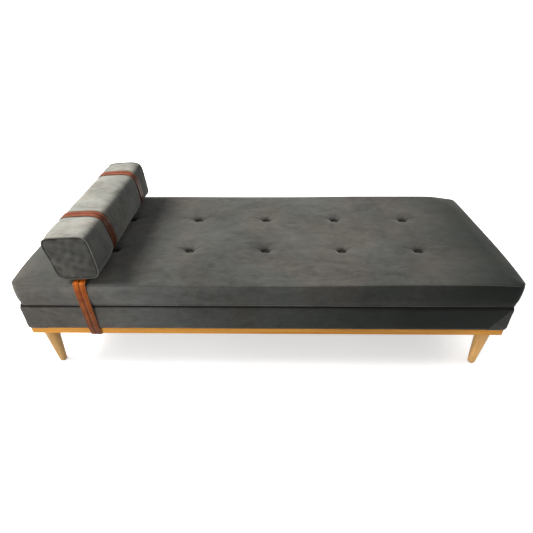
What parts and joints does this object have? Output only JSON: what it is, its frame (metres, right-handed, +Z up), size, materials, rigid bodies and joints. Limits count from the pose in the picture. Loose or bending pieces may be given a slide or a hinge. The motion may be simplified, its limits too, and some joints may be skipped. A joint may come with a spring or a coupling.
{
  "type": "daybed",
  "caption": "Backless upholstered daybed with a button-tufted mattress, a low oak plinth on round tapered legs, and a bolster on leather straps that slides along the bed.",
  "frame": {"origin": "on the floor, under the middle of the bed's box", "axes": "+X runs along the bed away from the end that the bolster stands at, +Y points to the back, +Z is up; the front is -Y"},
  "size_m": [2.013, 0.7808, 0.6772],
  "materials": {
    "velvet": "grey short-pile velvet with a soft sheen",
    "oak": "oiled oak, satin",
    "leather": "cognac saddle leather, satin, grooved edges",
    "pine": "bare sawn softwood",
    "plywood": "bare plywood",
    "foam": "upholstery foam",
    "steel": "zinc-plated steel",
    "felt": "pressed wool felt",
    "dust_cloth": "black non-woven cloth",
    "zip": "nylon coil zip, closed"
  },
  "bodies": {
    "bed": {"leg_front_left": "oak", "leg_front_right": "oak", "leg_back_left": "oak", "leg_back_right": "oak", "plinth_rail_front": "oak", "plinth_rail_back": "oak", "plinth_rail_left": "oak", "plinth_rail_right": "oak", "base_cover": "velvet", "mattress_cover": "velvet", "mattress_button_01": "velvet", "mattress_button_02": "velvet", "mattress_button_03": "velvet", "mattress_button_04": "velvet", "mattress_button_05": "velvet", "mattress_button_06": "velvet", "mattress_button_07": "velvet", "mattress_button_08": "velvet", "mattress_button_09": "velvet", "mattress_button_10": "velvet", "corner_block_front_left": "pine", "corner_block_front_right": "pine", "corner_block_back_left": "pine", "corner_block_back_right": "pine", "plinth_crossbar_left": "pine", "plinth_crossbar_right": "pine", "base_board_front": "pine", "base_board_back": "pine", "base_board_left": "pine", "base_board_right": "pine", "base_crosspiece_1": "pine", "base_crosspiece_2": "pine", "base_crosspiece_3": "pine", "base_deck": "plywood", "base_foam": "foam", "mattress_foam": "foam", "leg_bolt_front_left": "steel", "leg_bolt_front_right": "steel", "leg_bolt_back_left": "steel", "leg_bolt_back_right": "steel", "leg_insert_front_left": "steel", "leg_insert_front_right": "steel", "leg_insert_back_left": "steel", "leg_insert_back_right": "steel", "leg_glide_front_left": "felt", "leg_glide_front_right": "felt", "leg_glide_back_left": "felt", "leg_glide_back_right": "felt", "dust_cover": "dust_cloth", "mattress_zip": "zip"},
    "bolster": {"bolster_cover": "velvet", "bolster_foam": "foam", "bolster_zip": "zip", "bolster_loop_front": "leather", "bolster_loop_back": "leather", "belt_strap": "leather", "belt_screw_1": "steel", "belt_screw_2": "steel"}
  },
  "joints": [
    {"name": "bolster_slide", "type": "slide", "parent": "bed", "child": "bolster", "axis": [1, 0, 0], "range_m": [-0.155, 1.605]}
  ]
}
